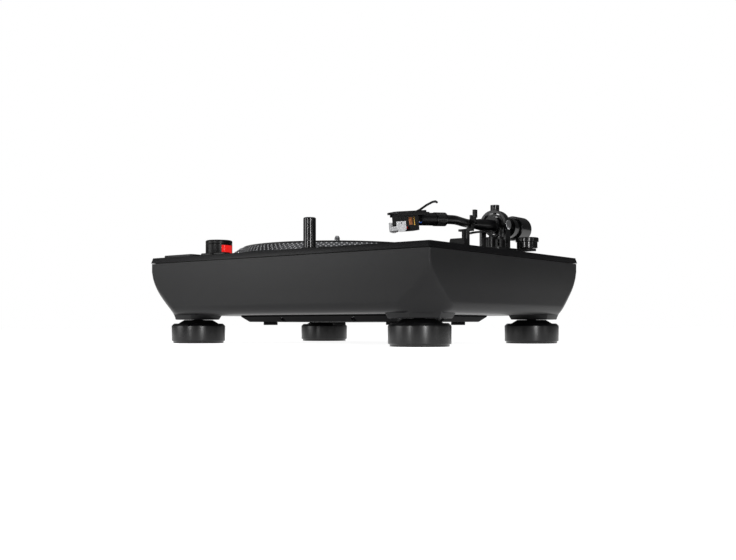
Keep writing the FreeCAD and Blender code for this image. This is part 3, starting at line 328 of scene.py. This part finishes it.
def softened(node, material, width=0.4 * mm, angle=32, segments=3):
    # the node's own shape with its sharp edges rounded, as casting and moulding leave them
    source = frame["nodes"][node]
    bm = bmesh.new()
    bm.from_mesh(source.data)
    bmesh.ops.remove_doubles(bm, verts=bm.verts, dist=0.004 * mm)
    bmesh.ops.dissolve_limit(bm, angle_limit=math.radians(0.4), verts=bm.verts, edges=bm.edges)
    mesh = bpy.data.meshes.new(node + "_soft")
    bm.to_mesh(mesh)
    bm.free()
    mesh.materials.clear()
    mesh.materials.append(material)
    mesh.shade_smooth()
    mesh.set_sharp_from_angle(angle=math.radians(angle))
    piece = bpy.data.objects.new(node + "_soft", mesh)
    bpy.context.scene.collection.objects.link(piece)
    if width > 0:
        bevel = piece.modifiers.new("edges", "BEVEL")
        bevel.width = width
        bevel.segments = segments
        bevel.limit_method = "ANGLE"
        bevel.angle_limit = math.radians(angle)
        bevel.harden_normals = True
        bevel.use_clamp_overlap = True
    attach(piece, bodyOf(node))
    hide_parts(node)
    return piece


def dress(node, material):
    # a CAD node kept as it is, with its material
    shown = frame["nodes"][node]
    shown.data.materials.clear()
    shown.data.materials.append(material)


def spun(profile, centre, steps, name, material, body, smooth=35):
    # turns a closed outline of (radius, height) about the upright line through centre
    bm = bmesh.new()
    verts = [bm.verts.new((centre[0] + r, centre[1], z)) for r, z in profile]
    edges = [bm.edges.new((verts[i], verts[(i + 1) % len(verts)])) for i in range(len(verts))]
    bmesh.ops.spin(bm, geom=verts + edges, cent=(centre[0], centre[1], 0), axis=(0, 0, 1), dvec=(0, 0, 0),
                   angle=2 * math.pi, steps=steps, use_merge=True, use_duplicate=False)
    return addPiece(name, bm, material, body, smooth)


def roundCorners(profile, radius, steps=4):
    # replaces each corner of a closed outline by a small arc
    rounded = []
    count = len(profile)
    for i in range(count):
        before = Vector(profile[i - 1])
        at = Vector(profile[i])
        after = Vector(profile[(i + 1) % count])
        back = before - at
        forth = after - at
        reach = min(radius, back.length / 2.2, forth.length / 2.2)
        if reach < 1e-6 or at.x < 1e-6:
            rounded.append(tuple(at))
            continue
        start = at + back.normalized() * reach
        end = at + forth.normalized() * reach
        for step in range(steps + 1):
            t = step / steps
            point = start * (1 - t) ** 2 + at * 2 * t * (1 - t) + end * t ** 2
            rounded.append(tuple(point))
    return rounded


# body

softened("top_deck", deckPaint, 0.5 * mm)

# plinth: wall outlines from the feet up, whose corners flare in from square to a broad chamfer
plinthShape = {"wall": 3.2 * mm, "underRadius": 12 * mm, "underside": 37.5 * mm,
               "ridgeBlend": 9 * mm, "edgeBlend": 1.3 * mm, "lip": 1.0 * mm, "top": 106.9 * mm,
               "flare": ((0, 107.1), (0, 62), (32, 49), (33.2, 31.7)), "blendSteps": 7,
               "windowX": (-15 * mm, 135 * mm), "windowZ": (62 * mm, 96 * mm),
               "pedestalX": (160 * mm, 218 * mm), "pedestalY": (110 * mm, 166 * mm),
               "pedestalSlant": 2.5 / 5.8,
               "pedestalFoot": 31.7 * mm, "pedestalEdge": 0.9 * mm}
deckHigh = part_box("top_deck")[1]
halfWidth = deckHigh.x - plinthShape["lip"]
halfDepth = deckHigh.y - plinthShape["lip"]
plinthTop = plinthShape["top"]


def flareDepth(z):
    # how far the corner is cut in at height z, along the diagonal
    poles = plinthShape["flare"]
    low, high = 0.0, 1.0
    for _ in range(30):
        t = (low + high) / 2
        weights = ((1 - t) ** 3, 3 * t * (1 - t) ** 2, 3 * t * t * (1 - t), t ** 3)
        height = sum(w * p[1] for w, p in zip(weights, poles)) * mm
        if height > z:
            low = t
        else:
            high = t
    return sum(w * p[0] for w, p in zip(weights, poles)) * mm


def underInset(z):
    # the wall's lower edge rolls under in a quarter round
    radius = plinthShape["underRadius"]
    below = plinthShape["underside"] + radius - z
    if below <= 0:
        return 0.0
    return radius - math.sqrt(max(0.0, radius * radius - below * below))


def cornerPoints(cut, blend):
    # one corner seen from inside: two soft ridges with the chamfer between them
    points = []
    steps = plinthShape["blendSteps"]
    across = min(blend, cut * math.sqrt(2) / 2.05)
    for i in range(steps + 1):
        t = i / steps
        start, turn = (cut + blend, 0.0), (cut, 0.0)
        end = (cut - across / math.sqrt(2), across / math.sqrt(2))
        weights = ((1 - t) ** 2, 2 * t * (1 - t), t * t)
        poles = (start, turn, end)
        points.append(tuple(sum(w * pole[k] for w, pole in zip(weights, poles)) for k in (0, 1)))
    return points + [(dy, dx) for dx, dy in reversed(points)]


def plinthOutline(z, wall):
    # the closed outline at height z, or the inside of the wall there
    inset = underInset(z) + wall
    a = halfWidth - inset
    b = halfDepth - inset
    cut = (flareDepth(z) + wall) * math.sqrt(2) - 2 * inset
    cut = max(cut, plinthShape["edgeBlend"])
    blend = plinthShape["edgeBlend"] + min(cut * 0.45, plinthShape["ridgeBlend"])
    corner = cornerPoints(cut, blend)
    outline = []
    for sx, sy in ((1, -1), (1, 1), (-1, 1), (-1, -1)):
        order = corner if sx != sy else list(reversed(corner))
        outline += [(sx * (a - dx), sy * (b - dy)) for dx, dy in order]
        if (sx, sy) == (1, 1):
            outline += [(x, b) for x in reversed(plinthShape["windowX"])]
    return outline + outline[:1]


def plinthWalls():
    bm = bmesh.new()
    heights = [37.5, 37.7, 38.4, 39.5, 41, 42.6, 44.2, 46, 47.8, 49.5, 51.2, 53, 55, 57, 59.5]
    heights += [62, 65, 69, 74, 80, 87, 96, 102]
    heights = [h * mm for h in heights] + [plinthTop - 0.6 * mm, plinthTop]
    levels = [(z, 0.0) for z in heights]
    floorTop = plinthShape["underside"] + plinthShape["wall"]
    levels += [(z, plinthShape["wall"]) for z in reversed(heights) if z > floorTop + 1 * mm]
    levels.append((floorTop, plinthShape["wall"]))
    count = len(plinthOutline(plinthTop, 0.0))
    bmesh.ops.create_grid(bm, x_segments=count - 1, y_segments=len(levels) - 1, size=1.0)
    bm.verts.ensure_lookup_table()
    for row, (z, wall) in enumerate(levels):
        for column, (x, y) in enumerate(plinthOutline(z, wall)):
            bm.verts[row * count + column].co = (x, y, z)
    bmesh.ops.remove_doubles(bm, verts=bm.verts, dist=0.001 * mm)
    bmesh.ops.holes_fill(bm, edges=[e for e in bm.edges if e.is_boundary], sides=0)
    lowX, highX = plinthShape["windowX"]
    lowZ, highZ = plinthShape["windowZ"]
    opening = []
    for face in bm.faces:
        middle = face.calc_center_median()
        behind = middle.y > halfDepth - 2 * plinthShape["wall"]
        if behind and lowX < middle.x < highX and lowZ < middle.z < highZ:
            opening.append(face)
    bmesh.ops.delete(bm, geom=opening, context="FACES")
    bmesh.ops.bridge_loops(bm, edges=[e for e in bm.edges if e.is_boundary])
    return bm


def addPedestals(bm):
    lowX, highX = plinthShape["pedestalX"]
    lowY, highY = plinthShape["pedestalY"]
    foot = plinthShape["pedestalFoot"]
    levels = [foot, foot + 2.5 * mm, foot + 5.8 * mm, foot + 9 * mm, foot + 13 * mm]
    for sx, sy in ((-1, -1), (1, -1), (-1, 1), (1, 1)):
        block = bmesh.new()
        bmesh.ops.create_grid(block, x_segments=5, y_segments=len(levels) - 1, size=1.0)
        block.verts.ensure_lookup_table()
        for row, z in enumerate(levels):
            out = (z - foot - 5.8 * mm) * plinthShape["pedestalSlant"]
            x0, x1, y0, y1 = lowX - out, highX + out, lowY - out, highY + out
            cut = x1 + y1 - (halfWidth + halfDepth - flareDepth(z) * math.sqrt(2)) + 0.3 * mm
            ring = [(x0, y0), (x1, y0), (x1, y1 - cut), (x1 - cut, y1), (x0, y1), (x0, y0)]
            for column, (x, y) in enumerate(ring):
                block.verts[row * 6 + column].co = (sx * x, sy * y, z)
        bmesh.ops.remove_doubles(block, verts=block.verts, dist=0.001 * mm)
        bmesh.ops.holes_fill(block, edges=[e for e in block.edges if e.is_boundary], sides=0)
        sharp = [e for e in block.edges if e.calc_face_angle(0.0) > math.radians(25)]
        bmesh.ops.bevel(block, geom=sharp, offset=plinthShape["pedestalEdge"], segments=3,
                        affect="EDGES", profile=0.5, material=-1, clamp_overlap=True)
        bmesh.ops.recalc_face_normals(block, faces=block.faces)
        loose = bpy.data.meshes.new("pedestal")
        block.to_mesh(loose)
        block.free()
        bm.from_mesh(loose)
        bpy.data.meshes.remove(loose)


bm = plinthWalls()
addPedestals(bm)
plinth = addPiece("plinth_moulding", bm, mouldedAbs, "chassis", smooth=40)
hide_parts("plinth_shell")
softened("base_pan", powderCoat, 1.0 * mm)
softened("pan_pads", softRubber, 0.8 * mm)
for node in ("rear_panel", "light_bush", "fader_body"):
    softened(node, knobPlastic, 0.3 * mm)
for node in ("phono_sockets", "ground_terminal"):
    softened(node, turnedBrass, 0.2 * mm)
softened("power_inlet", knobPlastic, 0.25 * mm)
dress("pan_screws", groundSteel)
dress("spindle_bearing", turnedBrass)
dress("motor_stator", fibreBoard)
dress("control_board", fibreBoard)
dress("transformer", darkIron)
dress("rotor_magnet", darkIron)
print("body done")

# feet: turned shells on rubber mounts

footShape = {"rounding": 0.7 * mm, "bottomInset": 2.0 * mm, "bottomStep": 2.5 * mm, "shoulder": 23.4 * mm,
             "topInset": 3.2 * mm, "steps": 128}
for corner in ("front_left", "front_right", "back_left", "back_right"):
    low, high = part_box("foot_" + corner)
    middle = (low + high) / 2
    radius = (high.x - low.x) / 2
    sole = radius - footShape["bottomInset"]
    outline = [(0, low.z), (sole, low.z), (sole, low.z + footShape["bottomStep"]),
               (radius, low.z + footShape["bottomStep"] + 0.6 * mm), (radius, footShape["shoulder"]),
               (radius - footShape["topInset"], high.z), (0, high.z)]
    foot = spun(roundCorners(outline, footShape["rounding"]), (middle.x, middle.y), footShape["steps"],
                "foot_shell_" + corner, footLacquer, "foot_" + corner)
    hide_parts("foot_" + corner)
    softened("foot_mount_" + corner, softRubber, 0.6 * mm)
print("feet done")

# platter: turned rim with rows of strobe dots

platterShape = {"steps": 256, "rounding": 0.7 * mm, "rows": 4, "dots": 132,
                "dotRadius": 1.55 * mm, "dotHeight": 0.55 * mm, "hubHole": 4.5 * mm, "matGap": 0.2 * mm,
                "rimHeight": 4.4 * mm, "topRadius": 131.5 * mm, "web": 4.5 * mm, "wall": 9.0 * mm}
low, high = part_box("platter")
spindleLow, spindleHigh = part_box("spindle")
centre = (spindleLow + spindleHigh) / 2
rim = (high.x - low.x) / 2
hole = platterShape["hubHole"]
rimTop = low.z + platterShape["rimHeight"]
webBottom = high.z - platterShape["web"]
rimInner = rim - platterShape["wall"]
outline = [(hole, webBottom), (rimInner - 4 * mm, webBottom), (rimInner, low.z), (rim, low.z), (rim, rimTop),
           (platterShape["topRadius"], high.z), (hole, high.z)]
platter = spun(roundCorners(outline, platterShape["rounding"]), (centre.x, centre.y), platterShape["steps"],
               "platter_turned", platterAluminium, "platter")
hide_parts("platter")

slopeStart = Vector((rim, rimTop))
slopeEnd = Vector((platterShape["topRadius"], high.z))
slope = slopeEnd - slopeStart
lean = math.atan2(slope.y, -slope.x)
dotRadius = platterShape["dotRadius"]
bm = bmesh.new()
for row in range(platterShape["rows"]):
    onSlope = slopeStart + slope * ((row + 0.6) / (platterShape["rows"] + 0.2))
    halfStep = math.pi / platterShape["dots"] * (row % 2)
    place = (Matrix.Translation((centre.x, centre.y, 0)) @ Matrix.Rotation(halfStep, 4, "Z")
             @ Matrix.Translation((onSlope.x, 0, onSlope.y)) @ Matrix.Rotation(math.pi / 2 - lean, 4, "Y")
             @ Matrix.Diagonal((dotRadius, dotRadius, platterShape["dotHeight"], 1)))
    bmesh.ops.create_uvsphere(bm, u_segments=10, v_segments=6, radius=1.0, matrix=place)
turn = 2 * math.pi * (platterShape["dots"] - 1) / platterShape["dots"]
bmesh.ops.spin(bm, geom=bm.verts[:] + bm.edges[:] + bm.faces[:], cent=(centre.x, centre.y, 0), axis=(0, 0, 1),
               dvec=(0, 0, 0), angle=turn, steps=platterShape["dots"] - 1,
               use_duplicate=True, use_merge=False)
addPiece("strobe_dots", bm, chromePlate, "platter", smooth=80)

low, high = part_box("slipmat")
matRadius = (high.x - low.x) / 2
matHole = hole + platterShape["matGap"]
matOutline = [(matHole, low.z), (matRadius, low.z), (matRadius, high.z), (matHole, high.z)]
mat = spun(roundCorners(matOutline, 0.8 * mm), (centre.x, centre.y), 192, "slipmat_felt", needleFelt,
           "platter")
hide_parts("slipmat")
softened("spindle", groundSteel, 0.5 * mm)
print("platter done")

# strobe tower, switch, buttons, fader and target light

softened("strobe_housing", knobPlastic, 0.5 * mm)
softened("strobe_lens", redWindow, 0.3 * mm)
softened("power_switch", knobPlastic, 0.7 * mm)
for node in ("start_stop_button", "speed_33_button", "speed_45_button", "pitch_reset_button",
             "light_release_button", "fader_knob"):
    softened(node, knobPlastic, 0.4 * mm)
softened("target_light", blackGloss, 0.3 * mm)
print("controls done")

# tonearm

for node in ("arm_collar", "arm_base", "base_lock_lever", "cue_lever", "yaw_yoke"):
    softened(node, blackAnodised, 0.35 * mm)
for node in ("height_ring", "anti_skate_dial", "counterweight", "force_dial", "locking_collar",
             "gimbal_arch"):
    softened(node, turnedBlack, 0.35 * mm)
for node in ("arm_rest", "arm_rest_clip", "arm_lifter", "headshell", "finger_lift", "cartridge",
             "weight_sleeve"):
    softened(node, knobPlastic, 0.3 * mm)
for node in ("bearing_housing", "arm_tube"):
    softened(node, blackAnodised, 0.4 * mm)
softened("stylus_guard", milkyGuard, 0.2 * mm)
dress("stylus", leadPvc["red"])

# headshell frame: u forward, v to the arm's left, w up, as the frame's shell sits
shellPlace = {"start": (0.166, -0.074, 0.149626), "forward": (-0.374938, -0.926096, -0.042054),
              "offset": 8 * mm, "lift": 8 * mm, "pitch": math.radians(3.6)}
forward = Vector(shellPlace["forward"]).normalized()
sideWay = Vector((0, 0, 1)).cross(forward).normalized()
headUp = forward.cross(sideWay).normalized()
headFrame = Matrix.Translation(shellPlace["start"]) @ Matrix((forward, sideWay, headUp)).transposed().to_4x4()
shellFrame = (headFrame @ Matrix.Translation((shellPlace["offset"], 0, shellPlace["lift"]))
              @ Matrix.Rotation(shellPlace["pitch"], 4, "Y"))


def shellBox(name, low, high, material, edge=0.1 * mm):
    # a small bevelled block between two corners given in the headshell's frame
    middle = [(a + b) / 2 for a, b in zip(low, high)]
    size = [abs(b - a) for a, b in zip(low, high)]
    place = shellFrame @ Matrix.Translation(middle) @ Matrix.Diagonal((*size, 1))
    bm = bmesh.new()
    bmesh.ops.create_cube(bm, size=1.0, matrix=place)
    bmesh.ops.bevel(bm, geom=bm.edges[:], offset=edge, segments=2, affect="EDGES", profile=0.5, material=-1)
    return addPiece(name, bm, material, "tonearm")


# four soft leads that bow between the neck and the cartridge pins
leadShape = {"radius": 0.55 * mm, "back": 13.0 * mm, "front": 21.4 * mm, "low": -6.4 * mm,
             "step": 1.6 * mm, "stagger": 1.1 * mm, "bow": 200, "bowSteps": 16}
leadPieces = []
for i, colourName in enumerate(("red", "green", "white", "blue")):
    side = leadShape["step"] * (2 * i - 3)
    reach = (leadShape["front"] - leadShape["back"]) / 2
    middle = (leadShape["back"] + leadShape["front"]) / 2
    drop = leadShape["low"] - leadShape["stagger"] * (i % 2)
    bm = bmesh.new()
    place = shellFrame @ Matrix.Translation((middle - reach, side, drop))
    ring = bmesh.ops.create_circle(bm, cap_ends=False, radius=leadShape["radius"], segments=10, matrix=place)
    axis = (shellFrame.to_3x3() @ Vector((0, -1, 0))).normalized()
    bowCentre = shellFrame @ Vector((middle, side, drop))
    bmesh.ops.spin(bm, geom=ring["verts"] + bm.edges[:], cent=bowCentre, axis=axis, dvec=(0, 0, 0),
                   angle=math.radians(leadShape["bow"]), steps=leadShape["bowSteps"],
                   use_merge=False, use_duplicate=False)
    bmesh.ops.holes_fill(bm, edges=[e for e in bm.edges if e.is_boundary], sides=0)
    leadPieces.append(addPiece("lead_" + colourName, bm, leadPvc[colourName], "tonearm",
                               60))
for piece in leadPieces:
    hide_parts("headshell_leads")

# cartridge: coil window and gilt band on both cheeks, seen through the shell's open side
cartridgeShape = {"half": 7.3 * mm, "proud": 0.15 * mm, "edge": 0.05 * mm,
                  "windowAlong": (29.8 * mm, 34.5 * mm), "windowUp": (-13.5 * mm, -5.0 * mm),
                  "bandAlong": (26.4 * mm, 27.8 * mm), "bandUp": (-14.2 * mm, -3.8 * mm)}
for sign, sideName in ((-1, "right"), (1, "left")):
    face = sign * cartridgeShape["half"]
    outer = face + sign * cartridgeShape["proud"]
    for name, material in (("window", ceramicBrown), ("band", turnedBrass)):
        start, end = cartridgeShape[name + "Along"]
        bottom, top = cartridgeShape[name + "Up"]
        pieceName = {"window": "coil_window_", "band": "gilt_band_"}[name] + sideName
        shellBox(pieceName, (start, face, bottom), (end, outer, top), material,
                 cartridgeShape["edge"])

# chrome bearing screws on the outer faces of the arch
archLow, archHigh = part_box("gimbal_arch")
bearingShape = {"radius": 6.4 * mm, "thick": 1.2 * mm, "edge": 0.35 * mm, "height": 157.3 * mm}
for sign, sideName in ((1, "right"), (-1, "left")):
    faceX = archHigh.x if sign > 0 else archLow.x
    bm = bmesh.new()
    middle = (faceX + sign * bearingShape["thick"] / 2, (archLow.y + archHigh.y) / 2, bearingShape["height"])
    place = Matrix.Translation(middle) @ Matrix.Rotation(math.pi / 2, 4, "Y")
    bmesh.ops.create_cone(bm, cap_ends=True, segments=48, radius1=bearingShape["radius"],
                          radius2=bearingShape["radius"], depth=bearingShape["thick"], matrix=place)
    rims = [e for e in bm.edges if e.calc_face_angle(0.0) > math.radians(60)]
    bmesh.ops.bevel(bm, geom=rims, offset=bearingShape["edge"], segments=3, affect="EDGES", profile=0.5, material=-1)
    addPiece("bearing_screw_" + sideName, bm, chromePlate, "arm_base")
print("tonearm done")
